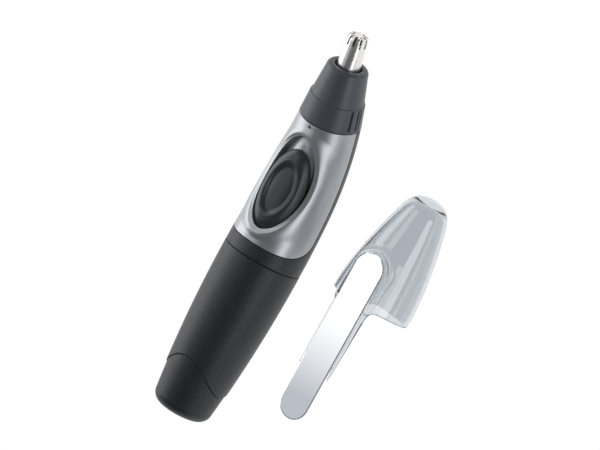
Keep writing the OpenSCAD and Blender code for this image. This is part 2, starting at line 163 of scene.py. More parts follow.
MATERIALS = {
    "silver_paint": material("silver_paint", (0.37, 0.385, 0.40), 0.39, metallic=0.8,
        grain=(9000, 0.06, 2e-5), tint=0.05, tint_scale=5000, coat=0.15),
    "dark_shell": material("dark_shell", (0.017, 0.018, 0.023), 0.44, grain=(1900, 0.9, 1.2e-4),
        tint=0.45, tint_scale=1700),
    "tail_shell": material("tail_shell", (0.015, 0.016, 0.020), 0.46, grain=(1900, 0.9, 1.2e-4),
        tint=0.45, tint_scale=1700),
    "slate_plastic": material("slate_plastic", (0.060, 0.066, 0.080), 0.40, grain=(3500, 0.10, 3e-5),
        tint=0.10, tint_scale=2600),
    "button_rubber": material("button_rubber", (0.028, 0.030, 0.033), 0.34, grain=(4000, 0.12, 3e-5),
        tint=0.12, tint_scale=1800),
    "seal_rubber": material("seal_rubber", (0.012, 0.012, 0.013), 0.55, grain=(3000, 0.15, 3e-5),
        tint=0.15),
    "blade_steel": brushed("blade_steel", (0.78, 0.77, 0.75), 0.27, (1500, 1500, 9000)),
    "steel": brushed("steel", (0.60, 0.60, 0.61), 0.25, (1500, 6000, 1500)),
    "spring_steel": material("spring_steel", (0.66, 0.66, 0.68), 0.2, metallic=1, tint=0.08,
        tint_scale=900),
    "motor_metal": brushed("motor_metal", (0.52, 0.53, 0.54), 0.3, (900, 4000, 900)),
    "magnet": material("magnet", (0.05, 0.05, 0.055), 0.6, grain=(1500, 0.3, 5e-5), tint=0.2,
        tint_scale=900),
    "copper": brushed("copper", (0.60, 0.27, 0.12), 0.3, (800, 9000, 800)),
    "contact_brass": material("contact_brass", (0.68, 0.49, 0.2), 0.28, metallic=1, tint=0.08,
        tint_scale=700),
    "natural_plastic": material("natural_plastic", (0.68, 0.67, 0.62), 0.45, grain=(1500, 0.1, 4e-5),
        tint=0.04),
    "socket_plastic": material("socket_plastic", (0.035, 0.037, 0.043), 0.45, grain=(2400, 0.2, 4e-5),
        tint=0.15),
    "cell_jacket": material("cell_jacket", (0.05, 0.16, 0.30), 0.25, tint=0.10, tint_scale=120, coat=0.6),
    "clear_hood": material("clear_hood", (0.66, 0.69, 0.72), 0.03, transmission=1.0, ior=1.47),
    "mirror_plate": material("mirror_plate", (0.93, 0.94, 0.95), 0.03, metallic=1),
    "mark_ink": material("mark_ink", (0.03, 0.03, 0.035), 0.5, tint=0.1, tint_scale=2500),
}
SLOT_NODES = {
    "seal_rubber": ("shaft_seal", "head_seal", "cover_seal"),
    "natural_plastic": ("cell_holder", "motor_cradle", "motor_end_cap", "switch_slider",
        "drive_coupling", "cutter_driver"),
    "socket_plastic": ("head_socket",),
    "motor_metal": ("motor_can",),
    "magnet": ("motor_magnets",),
    "contact_brass": ("motor_terminals", "switch_contacts", "bridging_contact"),
    "cell_jacket": ("battery",),
    "spring_steel": ("positive_contact", "housing_contact", "detent_spring", "negative_spring",
        "cover_contact", "cutter_spring"),
    "steel": ("cradle_screws", "motor_shaft", "cutter_shaft", "blade_retainer"),
    "blade_steel": ("inner_blade",),
    "copper": ("armature",),
}


# ---------------------------------------------------------------- mesh helpers

def handle_frame(points):
    return points * MM + HANDLE_AT


def head_frame(points):
    """Points as (across, toward the front, up) from the head seam."""
    placed = SEAM_AT + points[..., :1] * ACROSS + points[..., 1:2] * HEAD_FRONT + points[..., 2:] * HEAD_UP
    return handle_frame(placed)


def cap_frame(points):
    return points * MM + CAP_AT


def grid_faces(rows, cols, wrap_rows=False, wrap_cols=False, first=0):
    """Quads over a grid of rows by cols points, joined end to end where a side wraps."""
    i = np.arange(rows if wrap_rows else rows - 1)[:, None]
    j = np.arange(cols if wrap_cols else cols - 1)[None, :]
    i2, j2 = (i + 1) % rows, (j + 1) % cols
    quads = np.stack([i * cols + j, i2 * cols + j, i2 * cols + j2, i * cols + j2], -1)
    return (quads.reshape(-1, 4) + first).tolist()


def piece(name, points, faces, slot, body, replaced=(), sharp=38, merge=True):
    """A finished piece: one welded mesh with outward faces, its material and its body."""
    mesh = bpy.data.meshes.new(name)
    mesh.from_pydata([tuple(p) for p in np.asarray(points).reshape(-1, 3)], [], faces)
    work = bmesh.new()
    work.from_mesh(mesh)
    if merge:
        bmesh.ops.remove_doubles(work, verts=work.verts, dist=2e-6)
        bmesh.ops.dissolve_degenerate(work, edges=work.edges, dist=1e-6)
    bmesh.ops.recalc_face_normals(work, faces=work.faces)
    work.to_mesh(mesh)
    work.free()
    obj = bpy.data.objects.new(name, mesh)
    bpy.context.scene.collection.objects.link(obj)
    mesh.materials.append(MATERIALS[slot])
    mesh.shade_smooth()
    mesh.set_sharp_from_angle(angle=math.radians(sharp))
    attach(obj, body)
    if replaced:
        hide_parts(*replaced)
    return obj


def edge_drop(distance, radius=EDGE):
    """Depth of a rounded edge at a distance in from it."""
    inside = np.clip(radius - distance, 0, radius)
    return radius - np.sqrt(radius ** 2 - inside ** 2)


# ---------------------------------------------------------------- handle shells

def body_radius(l):
    return BELLY_R - (l - BELLY_Y) ** 2 / (2 * OUTLINE_R)


def skin(l, t, h):
    """Points on the handle's outline: l along its axis, t round it from the front, h above it."""
    a = np.clip(l - BEND_START, 0, None) / BEND_R
    r = body_radius(l) + h
    along = np.where(l < BEND_START, l, BEND_START + BEND_R * np.sin(a))
    return np.stack([r * np.sin(t), along - r * np.cos(t) * np.sin(a),
                     BEND_R * (1 - np.cos(a)) + r * np.cos(t) * np.cos(a)], -1)


FLAT_R = 14.0


def flat_at(x, y):
    """(round, along) on the unrolled skin, in millimetres, of the point above x, y."""
    l = np.array(y, float)
    for _ in range(30):
        t = np.arcsin(np.clip(x / body_radius(l), -0.98, 0.98))
        l = l + 0.8 * (y - skin(l, t, 0)[..., 1])
    return np.stack([t * FLAT_R, l], -1)


def side_turn(l, gap):
    """Turn from the front at which the side seam runs."""
    return np.pi / 2 + (SIDE_SEAM - gap) / body_radius(l)


def parting(gap, step):
    """Seam between front cover and rear housing, unrolled, from the top left round to the top right."""
    fine = np.array([0, 0.03, 0.08, 0.16, 0.28, 0.5])
    top, corner_top = HANDLE_L, COVER_Y + BAND_H + CORNER_H
    ls = np.concatenate([top - fine, np.arange(top - 0.5 - step, corner_top + step / 2, -step)])
    side = np.stack([-side_turn(ls, gap) * FLAT_R, ls], -1)
    turn = np.radians(np.linspace(0, 90, 24))
    y = corner_top - CORNER_H * np.sin(turn)
    z = CORNER_W * (1 - np.cos(turn)) - SIDE_SEAM
    across = -np.arccos(np.clip(z / body_radius(y), -1, 1)) * FLAT_R
    corner = np.stack([across + gap * np.cos(turn), y + gap * np.sin(turn)], -1)
    end = corner[-1]
    count = int(-2 * end[0] / step)
    bottom = np.stack([np.linspace(end[0], -end[0], count), np.full(count, end[1])], -1)
    half = np.concatenate([side, corner[1:]])
    return np.concatenate([half, bottom[1:-1], half[::-1] * [-1, 1]])


def resample(line, count):
    """Evenly spaced points along a line."""
    length = np.concatenate([[0], np.cumsum(np.linalg.norm(np.diff(line, axis=0), axis=1))])
    at = np.linspace(0, length[-1], count)
    return np.stack([np.interp(at, length, line[:, k]) for k in range(line.shape[1])], -1)


def front_cover():
    """Silver shell: spokes from the recess out to the seams, each a closed section of the wall."""
    top = HANDLE_L - SEAM_GAP
    edge = parting(SEAM_GAP, 0.8)
    edge = edge[(edge[:, 1] < top)]
    corner = side_turn(top, SEAM_GAP) * FLAT_R
    head_edge = np.stack([np.linspace(corner, -corner, 60), np.full(60, top)], -1)
    rim_out = np.concatenate([head_edge, edge])
    middle = flat_at(np.array([0.0]), np.array([RECESS_Y]))[0]
    half_w = flat_at(np.array([RECESS_W / 2]), np.array([RECESS_Y]))[0, 0]
    bearing = np.arctan2((rim_out[:, 1] - middle[1]) / (RECESS_L / 2), (rim_out[:, 0] - middle[0]) / half_w)

    def oval(scale_x, scale_y):
        return flat_at(scale_x * RECESS_W / 2 * np.cos(bearing),
                       RECESS_Y + scale_y * RECESS_L / 2 * np.sin(bearing))

    hole = oval(1, 1)
    step = 1e-3
    ahead = flat_at(RECESS_W / 2 * np.cos(bearing + step), RECESS_Y + RECESS_L / 2 * np.sin(bearing + step))
    along = ahead - hole
    out = np.stack([along[:, 1], -along[:, 0]], -1) / np.linalg.norm(along, axis=1)[:, None]
    slot = oval(0.36, 0.60)

    def ring(where, h):
        return skin(where[:, 1], where[:, 0] / FLAT_R, np.zeros(len(where)) + h)

    rings = []
    for share in np.linspace(0, 1, 8):
        rings.append(ring(slot + (hole - out * 0.45 - slot) * share, -RECESS_DEPTH))
    bezel = [(-0.30, -2.36), (-0.16, -2.26), (-0.05, -2.08), (0, -1.8), (0, -1.2), (0, -0.6), (0, -0.1),
             (0.02, 0.02), (0.07, 0.10), (0.15, 0.15), (0.26, 0.18), (0.45, 0.25), (0.7, 0.37), (0.95, 0.50),
             (1.15, 0.61), (1.32, 0.69), (1.48, 0.74), (1.66, 0.765), (1.86, 0.77)]
    for d, h in bezel:
        rings.append(ring(hole + out * d, h))
    crest_at, crest_h = bezel[-1]
    crest = hole + out * crest_at
    slope_l = np.clip(0.62 * np.linalg.norm(rim_out - crest, axis=1), 2.6, 8.0)
    for share in np.linspace(0, 1, 20)[1:]:
        fall = crest_h * (1 - share * share * (3 - 2 * share))
        rings.append(ring(crest + out * (share * slope_l)[:, None], fall))
    last = crest + out * slope_l[:, None]
    reach = np.linalg.norm(rim_out - last, axis=1)[:, None]
    for share in np.linspace(0, 1, 22)[1:-1]:
        where = last + (rim_out - last) * share * (1 - 0.6 / reach)
        rings.append(ring(where, 0))
    for d in (0.6, 0.42, 0.28, 0.19, 0.12, 0.06, 0.02, 0):
        rings.append(ring(rim_out + (last - rim_out) * np.minimum(d / reach, 1), -edge_drop(d)))
    rings.append(ring(rim_out, -WALL))
    for share in (0.25, 0.5, 0.75, 1.0):
        rings.append(ring(rim_out + (last - rim_out) * share, -WALL))
    for d, h in ((3.2, -WALL), (1.4, -WALL - 0.1), (0.9, -RECESS_DEPTH), (0.4, -RECESS_DEPTH - 1)):
        rings.append(ring(hole + out * d, h))
    rings.append(ring(slot, -RECESS_DEPTH - 1))
    points = np.stack(rings)
    faces = grid_faces(points.shape[0], points.shape[1], wrap_rows=True, wrap_cols=True)
    return piece("front_cover_shell", handle_frame(points), faces, "silver_paint", "handle", ("front_cover",))


def revolved(outline, turns, place, wobble=None):
    """A closed outline of (radius, height) points turned about an axis."""
    outline = np.asarray(outline, float)
    r = outline[:, 0][:, None] + (wobble if wobble is not None else 0)
    h = outline[:, 1][:, None] + 0 * turns
    return place(np.stack([r * np.sin(turns), r * np.cos(turns), h], -1))


def rear_housing():
    """Dark shell: spokes from the parting seam out to the lower edge and the middle of the back."""
    edge = parting(-SEAM_GAP, 0.8)
    back = np.pi * FLAT_R
    low = COVER_Y + SEAM_GAP
    corner_top = COVER_Y + BAND_H + CORNER_H
    count = len(edge)
    straight = int(np.sum(edge[:count // 2, 1] >= corner_top - 1e-6))
    turn = straight + 12
    target = np.empty_like(edge)
    target[:straight] = np.stack([np.full(straight, -back), edge[:straight, 1]], -1)
    fall = np.linspace(corner_top, low, turn - straight + 1)[1:]
    target[straight:turn] = np.stack([np.full(turn - straight, -back), fall], -1)
    half = count // 2
    spread = edge[turn:half, 0]
    share = np.linspace(0, 1, half - turn + 1)[1:]
    target[turn:half] = np.stack([-back * (1 - share) + spread[-1] * share, np.full(half - turn, low)], -1)
    target[count - half:] = target[:half][::-1] * [-1, 1]
    if count % 2:
        target[half] = [0, low]
    reach = np.linalg.norm(target - edge, axis=1)
    rings, inner = [], []
    fine = np.array([0, 0.02, 0.06, 0.12, 0.19, 0.28, 0.5])
    steps = [("near", d) for d in fine] + [("share", s) for s in np.linspace(0, 1, 34)[1:-1]]
    steps += [("far", d) for d in fine[::-1]]
    for kind, value in steps:
        if kind == "near":
            share = value / reach
        elif kind == "far":
            share = 1 - value / reach
        else:
            share = (0.5 + (reach - 1.0) * value) / reach
        where = edge + (target - edge) * share[:, None]
        from_part = share * reach
        drop = np.maximum.reduce([edge_drop(from_part), edge_drop(where[:, 1] - low),
                                  edge_drop(HANDLE_L - SEAM_GAP - where[:, 1])])
        ls = np.minimum(where[:, 1], HANDLE_L - SEAM_GAP)
        rings.append(skin(ls, where[:, 0] / FLAT_R, -drop))
        inner.append(skin(ls, where[:, 0] / FLAT_R, 0 * drop - WALL))
    outer, inner = np.stack(rings), np.stack(inner)
    rows, cols = outer.shape[:2]
    points = np.concatenate([outer.reshape(-1, 3), inner.reshape(-1, 3)])
    size = rows * cols
    faces = grid_faces(rows, cols) + [f[::-1] for f in grid_faces(rows, cols, first=size)]
    for j in range(cols - 1):
        faces.append([j, j + 1, size + j + 1, size + j])
    bottom = (rows - 1) * cols
    for j in range(turn - 1, cols - turn):
        faces.append([bottom + j + 1, bottom + j, size + bottom + j, size + bottom + j + 1])
    for i in range(rows - 1):
        for j, flip in ((0, 1), (cols - 1, -1)):
            a, b = i * cols + j, (i + 1) * cols + j
            faces.append([a, b, size + b, size + a][::flip])
    neck = [(NECK_R - 1.6, NECK_Y), (NECK_R - 0.2, NECK_Y), (NECK_R, NECK_Y + 0.2), (NECK_R, GROOVE_Y),
            (NECK_R - 1.2, GROOVE_Y), (NECK_R - 1.2, GROOVE_Y + 1.4), (NECK_R, GROOVE_Y + 1.4),
            (NECK_R, low), (BELLY_R - WALL + 0.3, low + 0.05), (BELLY_R - WALL + 0.3, COVER_Y + 2),
            (NECK_R - 1.6, COVER_Y + 2)]
    turns = np.radians(np.arange(0, 360, 3))[None, :]
    ring = revolved(neck, turns, lambda p: np.stack([p[..., 0], p[..., 2], p[..., 1]], -1))
    faces += grid_faces(len(neck), ring.shape[1], True, True, first=len(points))
    points = np.concatenate([points, ring.reshape(-1, 3)])
    return piece("rear_housing_shell", handle_frame(points), faces, "dark_shell", "handle", ("rear_housing",))


def tail_seam(t, gap):
    """Height of the arched seam between battery cover and tail at each turn."""
    y = np.full_like(t, TAIL_LOW)
    for _ in range(12):
        x = body_radius(y) * np.sin(t)
        y = TAIL_HIGH - (TAIL_HIGH - TAIL_LOW) * (x / TAIL_R) ** 2
    return y + gap


def battery_cover():
    """Dark sleeve from the arched tail seam up to the housing's band."""
    t = np.radians(np.arange(0, 360, 1.5))
    low, high = tail_seam(t, 0.03), COVER_Y - SEAM_GAP
    fine = np.array([0, 0.02, 0.06, 0.12, 0.19, 0.28, 0.5])
    rings = []

    def ring(y, h):
        y = y + 0 * t
        r = body_radius(y) + h
        rings.append(np.stack([r * np.sin(t), y, r * np.cos(t)], -1))

    for d in fine:
        ring(low + d, -edge_drop(d))
    for share in np.linspace(0, 1, 40)[1:-1]:
        ring(low + 0.5 + (high - low - 1.0) * share, 0)
    for d in fine[::-1]:
        ring(high - d, -edge_drop(d))
    neck_wall = BELLY_R - NECK_R - 0.08
    ring(high, -neck_wall + 0.1)
    ring(high - 0.2, -neck_wall)
    for y in np.linspace(high - 1, NECK_Y, 6):
        ring(y, NECK_R + 0.06 - body_radius(y))
    for share in np.linspace(1, 0, 12):
        ring(low + (NECK_Y - 0.3 - low) * share, -WALL)
    points = np.stack(rings)
    faces = grid_faces(len(points), len(t), True, True)
    return piece("battery_cover_sleeve", handle_frame(points), faces, "dark_shell", "cover",
                 ("battery_cover",))


def tail_cap():
    """Tail cup below the arched seam, a step smaller than the sleeve, with a rounded foot."""
    t = np.radians(np.arange(0, 360, 1.5))
    high = tail_seam(t, -0.03)
    fine = np.array([0.5, 0.28, 0.19, 0.12, 0.06, 0.02, 0])
    rings = []

    def ring(r, y):
        r, y = r + 0 * t, y + 0 * t
        rings.append(np.stack([r * np.sin(t), y, r * np.cos(t)], -1))

    foot = body_radius(BASE_CORNER) - TAIL_STEP - BASE_CORNER
    for share in np.linspace(0, 1, 8)[:-1]:
        ring(foot * share, 0.0)
    for turn in np.radians(np.linspace(0, 90, 16)):
        ring(foot + BASE_CORNER * np.sin(turn), BASE_CORNER * (1 - np.cos(turn)))
    for share in np.linspace(0, 1, 16)[1:-1]:
        y = BASE_CORNER + (high - 0.5 - BASE_CORNER) * share
        ring(body_radius(y) - TAIL_STEP, y)
    for d in fine:
        y = high - d
        ring(body_radius(y) - TAIL_STEP - edge_drop(d), y)
    for share in np.linspace(1, 0, 10):
        y = BASE_CORNER + (high - BASE_CORNER) * share
        ring(body_radius(y) - TAIL_STEP - WALL, y)
    for share in np.linspace(1, 0, 6)[1:]:
        ring((body_radius(BASE_CORNER) - TAIL_STEP - WALL) * share, BASE_CORNER)
    points = np.stack(rings)
    faces = grid_faces(len(points), len(t), False, True)
    return piece("tail_cap_cup", handle_frame(points), faces, "tail_shell", "cover", ("tail_cap",))


# ---------------------------------------------------------------- switch

def switch_button():
    """Rubber-faced slide: crowned top with a rounded skirt, a raised oval lip and a dished thumb rest."""
    t = np.radians(np.arange(0, 360, 2.0))
    shares = np.concatenate([np.linspace(0.02, 0.60, 22), np.linspace(0.61, 0.80, 20),
                             np.linspace(0.81, 1, 22)])
    lip_at, dish_edge, skirt_from = 0.715, 0.685, 0.77
    rings = []

    def ring(share, lower):
        x = share * BUTTON_W / 2 * np.cos(t)
        y = share * BUTTON_L / 2 * np.sin(t)
        crown = np.sqrt(CROWN_R ** 2 - x ** 2) - 0.0012 * y ** 2
        sunk = np.clip((dish_edge - share) / DISH_WALL, 0, 1)
        dish = DISH_DEPTH * sunk * sunk * (3 - 2 * sunk)
        lip = 0.16 * np.exp(-((share - lip_at) / 0.022) ** 2)
        skirt = 1.5 * np.clip((share - skirt_from) / (1 - skirt_from), 0, 1) ** 1.9
        rings.append(np.stack([x, BUTTON_Y + y, crown - dish + lip - skirt - lower], -1))

    for share in shares:
        ring(share, 0)
    for lower in (0.05, 0.12, 0.22, 0.5, 1.0, 1.6):
        ring(1.0, lower)
    top = np.stack(rings)
    centre = np.array([0, BUTTON_Y, CROWN_R - DISH_DEPTH])
    skirt_z = top[-1][:, 2]
    under = np.stack([top[-1][:, 0] * 0.97, BUTTON_Y + (top[-1][:, 1] - BUTTON_Y) * 0.97, skirt_z], -1)
    shelf = np.stack([top[-1][:, 0] * 0.9, BUTTON_Y + (top[-1][:, 1] - BUTTON_Y) * 0.9,
                      np.maximum(skirt_z, 0) + 0.25], -1)
    points = np.concatenate([top.reshape(-1, 3), under, shelf, [centre], [[0, BUTTON_Y, 13.0]]])
    rows, cols = len(top) + 2, len(t)
    faces = grid_faces(rows, cols, False, True)
    first, last = rows * cols, rows * cols + 1
    faces += [[first, (j + 1) % cols, j] for j in range(cols)]
    bottom = (rows - 1) * cols
    faces += [[last, bottom + j, bottom + (j + 1) % cols] for j in range(cols)]
    return piece("switch_button_rubber", handle_frame(points), faces, "button_rubber", "switch",
                 ("switch_button",))


def skin_mark(name, outline, inner, l, t, h, slot, body, lift=0.03):
    """A printed mark: a thin raised shape that follows the skin, given as flat outlines in millimetres."""
    outline, inner = np.asarray(outline, float), np.asarray(inner, float)
    layers = []
    for height, shape in ((0, outline), (lift, outline), (lift, inner), (0, inner)):
        heights = np.full(len(shape), h + height)
        layers.append(skin(l + shape[:, 1], t + shape[:, 0] / body_radius(l), heights))
    points = np.stack(layers)
    faces = grid_faces(4, len(outline), True, True)
    return piece(name, handle_frame(points), faces, slot, body)


def marks():
    """The off mark in the recess floor and the alignment arrow at the head seam."""
    t = np.radians(np.arange(0, 360, 10))
    zero = np.stack([0.78 * np.cos(t), 1.12 * np.sin(t)], -1)
    skin_mark("switch_zero_mark", zero, zero * [0.62, 0.74], 110.45, 0.0, -RECESS_DEPTH, "mark_ink", "handle")
    arrow = resample(np.array([[-0.75, -1.1], [0.75, -1.1], [0, 0.35], [-0.75, -1.1]]), 31)[:-1]
    middle = np.array([0, -0.62])
    inner = (arrow - middle) * 0.05 + middle
    skin_mark("seam_arrow_mark", arrow, inner, HANDLE_L - 0.75, 0.0, 0.0, "mark_ink", "handle")


# ---------------------------------------------------------------- cutter head

def blade_collar():
    """Slate collar: lower ring with three grip grooves, a step, and a cone with a soft upper edge."""
    turns = np.radians(np.arange(0, 360, 1.0))[None, :]
    groove_at, groove_half = (73, 90, 99), 2.3
    lower = [(RING_R - 0.25, COLLAR_LIFT), (RING_R - 0.07, COLLAR_LIFT + 0.07), (RING_R, COLLAR_LIFT + 0.25)]
    ring_top = RING_R - 1.3
    for share in np.linspace(0, 1, 20)[1:]:
        h = COLLAR_LIFT + 0.25 + (RING_H - 0.3 - COLLAR_LIFT - 0.25) * share
        lower.append((RING_R - 1.3 * (h / RING_H), h))
    step = [(ring_top - 0.04, RING_H - 0.12), (ring_top - 0.16, RING_H - 0.02), (ring_top - 0.3, RING_H),
            (CONE_R + 0.08, RING_H + 0.02), (CONE_R, RING_H + 0.1)]
    edge_r = 1.5
    cone_top = COLLAR_H - edge_r
    cone = [(CONE_R + (TOP_R - CONE_R) * s, RING_H + 0.1 + (cone_top - RING_H - 0.1) * s)
            for s in np.linspace(0, 1, 14)[1:]]
    edge = [(TOP_R - edge_r + edge_r * math.cos(a), cone_top + edge_r * math.sin(a))
            for a in np.radians(np.linspace(0, 90, 12))[1:]]
    mouth = [(BLADE_R + 1.0, COLLAR_H), (BLADE_R + 0.83, COLLAR_H - 0.06), (BLADE_R + 0.75, COLLAR_H - 0.2),
             (BLADE_R + 0.6, COLLAR_H - 2.4), (BLADE_R + 0.1, COLLAR_H - 2.4), (BLADE_R + 0.1, 15.0),
             (6.6, 15.0), (6.6, 7.5), (8.3, 7.5), (8.3, COLLAR_LIFT)]
    outline = np.array(lower + step + cone + edge + mouth)
    degrees = np.degrees(turns)
    groove = np.zeros_like(turns)
    for at in groove_at:
        groove = np.maximum(groove, np.clip((groove_half - np.abs(degrees - at)) / 0.9, 0, 1))
    h = outline[:, 1][:, None]
    in_ring = np.clip((h - 1.0) / 0.25, 0, 1) * np.clip((RING_H - 0.45 - h) / 0.25, 0, 1)
    outside = (np.arange(len(outline)) < len(lower) + 1)[:, None]
    points = revolved(outline, turns, head_frame, wobble=-0.75 * groove * in_ring * outside)
    faces = grid_faces(len(outline), turns.shape[1], True, True)
    return piece("blade_collar_shell", points, faces, "slate_plastic", "blade_head", ("blade_collar",))


def outer_blade():
    """Bright steel foil: a slightly tapered tube with a rounded crown cut by radial slots."""
    sector = 2 * math.pi / SLOTS
    top, dome = BLADE_H, 1.6
    tube = [(BLADE_R, 14.9), (BLADE_R, 18.0), (BLADE_R, COLLAR_H)]
    shoulder = CROWN_FLAT + 0.9
    for share in np.linspace(0, 1, 12)[1:]:
        tube.append((BLADE_R + (shoulder - BLADE_R) * share, COLLAR_H + (top - dome - COLLAR_H) * share))
    crown = [(CROWN_FLAT + 0.9 * math.cos(a), top - dome + dome * math.sin(a))
             for a in np.radians(np.linspace(0, 90, 12))[1:]]
    flat = [(r, top) for r in (2.5, 2.1, 1.75)]
    slot_low = top - SLOT_H
    outline = tube + crown + flat
    heights = [h for _, h in outline]
    outline[int(np.argmin(np.abs(np.array(heights) - slot_low)))] = (
        float(np.interp(slot_low, [COLLAR_H, top - dome], [BLADE_R, shoulder])), slot_low)
    outline = np.array(outline)
    columns, slot_cols, tooth_cols = [], 2, 8
    for k in range(SLOTS):
        columns += [(k, "slot", s) for s in np.linspace(-1, 1, slot_cols + 1)[:-1]]
        columns += [(k, "tooth", s) for s in np.linspace(0, 1, tooth_cols + 1)[:-1]]
    angle = np.zeros((len(outline), len(columns)))
    for i, (r, _) in enumerate(outline):
        half = math.asin(min(1, SLOT_W / 2 / r))
        for j, (k, kind, s) in enumerate(columns):
            base = (k + 0.5) * sector
            angle[i, j] = base + half * s if kind == "slot" else base + half + (sector - 2 * half) * s
    r, h = outline[:, 0][:, None], outline[:, 1][:, None]

    def layer(radius, height):
        return np.stack([radius * np.sin(angle), radius * np.cos(angle), height + 0 * angle], -1)

    slope = np.gradient(outline, axis=0)
    slope /= np.linalg.norm(slope, axis=1)[:, None]
    inner_r = r - BLADE_WALL * slope[:, 1][:, None]
    inner_h = h + BLADE_WALL * slope[:, 0][:, None]
    outer, inner = layer(r, h), layer(inner_r, inner_h)
    rows, cols = angle.shape
    size = rows * cols
    kept = np.ones((rows - 1, cols), bool)
    for j, (_, kind, _) in enumerate(columns):
        if kind == "slot":
            kept[heights_above(outline, slot_low), j] = False
    faces = []
    for i in range(rows - 1):
        for j in range(cols):
            if not kept[i, j]:
                continue
            j2 = (j + 1) % cols
            a, b, c, d = i * cols + j, (i + 1) * cols + j, (i + 1) * cols + j2, i * cols + j2
            faces += [[a, b, c, d], [size + d, size + c, size + b, size + a]]
            if not kept[i, j - 1]:
                faces.append([a, size + a, size + b, b])
            if not kept[i, j2]:
                faces.append([d, c, size + c, size + d])
            if i + 1 < rows - 1 and not kept[i + 1, j]:
                faces.append([b, size + b, size + c, c])
    centre_out, centre_in = 2 * size, 2 * size + 1
    end = (rows - 1) * cols
    for j in range(cols):
        j2 = (j + 1) % cols
        faces.append([end + j2, end + j, centre_out])
        faces.append([size + end + j, size + end + j2, centre_in])
        faces.append([j, j2, size + j2, size + j])
        if not kept[rows - 2, j]:
            faces.append([end + j, end + j2, size + end + j2, size + end + j])
    centres = np.array([[0, 0, top], [0, 0, top - BLADE_WALL]])
    points = np.concatenate([outer.reshape(-1, 3), inner.reshape(-1, 3), centres])
    flange = [(BLADE_R - BLADE_WALL, 14.0), (6.5, 14.0), (6.5, 14.9), (BLADE_R - BLADE_WALL, 14.9)]
    turns = np.radians(np.arange(0, 360, 5))[None, :]
    ring = revolved(flange, turns, lambda p: p)
    faces += grid_faces(4, turns.shape[1], True, True, first=len(points))
    points = np.concatenate([points, ring.reshape(-1, 3)])
    return piece("outer_blade_foil", head_frame(points), faces, "blade_steel", "blade_head", ("outer_blade",),
                 sharp=30)


def heights_above(outline, low):
    """Rows of faces that lie wholly above a height or on the flat top."""
    h = outline[:, 1]
    return np.nonzero(np.minimum(h[:-1], h[1:]) >= low - 1e-6)[0]


# ---------------------------------------------------------------- cap

def blend_min(a, b, k):
    share = np.clip(0.5 + 0.5 * (b - a) / k, 0, 1)
    return b + (a - b) * share - k * share * (1 - share)


def blend_max(a, b, k):
    return -blend_min(-a, -b, k)


HOOD_AXIS = np.array([0, math.cos(HOOD_LEAN), -math.sin(HOOD_LEAN)])


def hood_field(p, thinner, shorter, corner):
    """Distance from the hood's outline: a revolved bell about its leaning axis, closed at the tip."""
    w = p @ HOOD_AXIS
    away = np.linalg.norm(p - w[..., None] * HOOD_AXIS, axis=-1)
    d = np.clip(HOOD_FULL - (HOOD_L - w), 0, None)
    side = (away - (HOOD_R - HOOD_TAPER * d ** TAPER_POWER - thinner)) * 0.97
    return blend_max(side, w - (HOOD_L - shorter), corner), w


def clip_field(p, grow, low, high, corner):
    """Distance from a flat stadium bar between two heights."""
    r = CLIP_W / 2
    y = np.clip(p[..., 1], -CLIP_DROP + r, CLIP_RISE - r)
    flat = np.hypot(p[..., 0], p[..., 1] - y) - r - grow
    return blend_max(flat, np.maximum(low - p[..., 2], p[..., 2] - high), corner)


def cap_field(p):
    """Distance from the cap's surface: hood and clip run together, hollow hood, hollow back of the clip."""
    hood, w = hood_field(p, 0, 0, 6.5)
    hood = blend_max(hood, -w, 0.5)
    clip = clip_field(p, 0, HOOD_R - CLIP_DEPTH, HOOD_R, 1.1)
    solid = blend_min(hood, clip, 3.6)
    solid = blend_max(solid, p[..., 2] - HOOD_R, 0.8)
    inner, _ = hood_field(p, HOOD_WALL, 2.6, 4.0)
    solid = blend_max(solid, -inner, 0.5)
    pocket = clip_field(p, -1.2, -40, HOOD_R - 2.0, 0.6)
    pocket = blend_max(pocket, w + 1.4, 0.8)
    solid = blend_max(solid, -pocket, 0.4)
    seat = clip_field(p, -1.0, HOOD_R - MIRROR_T, 40, 0.1)
    return blend_max(solid, -seat, 0.2)


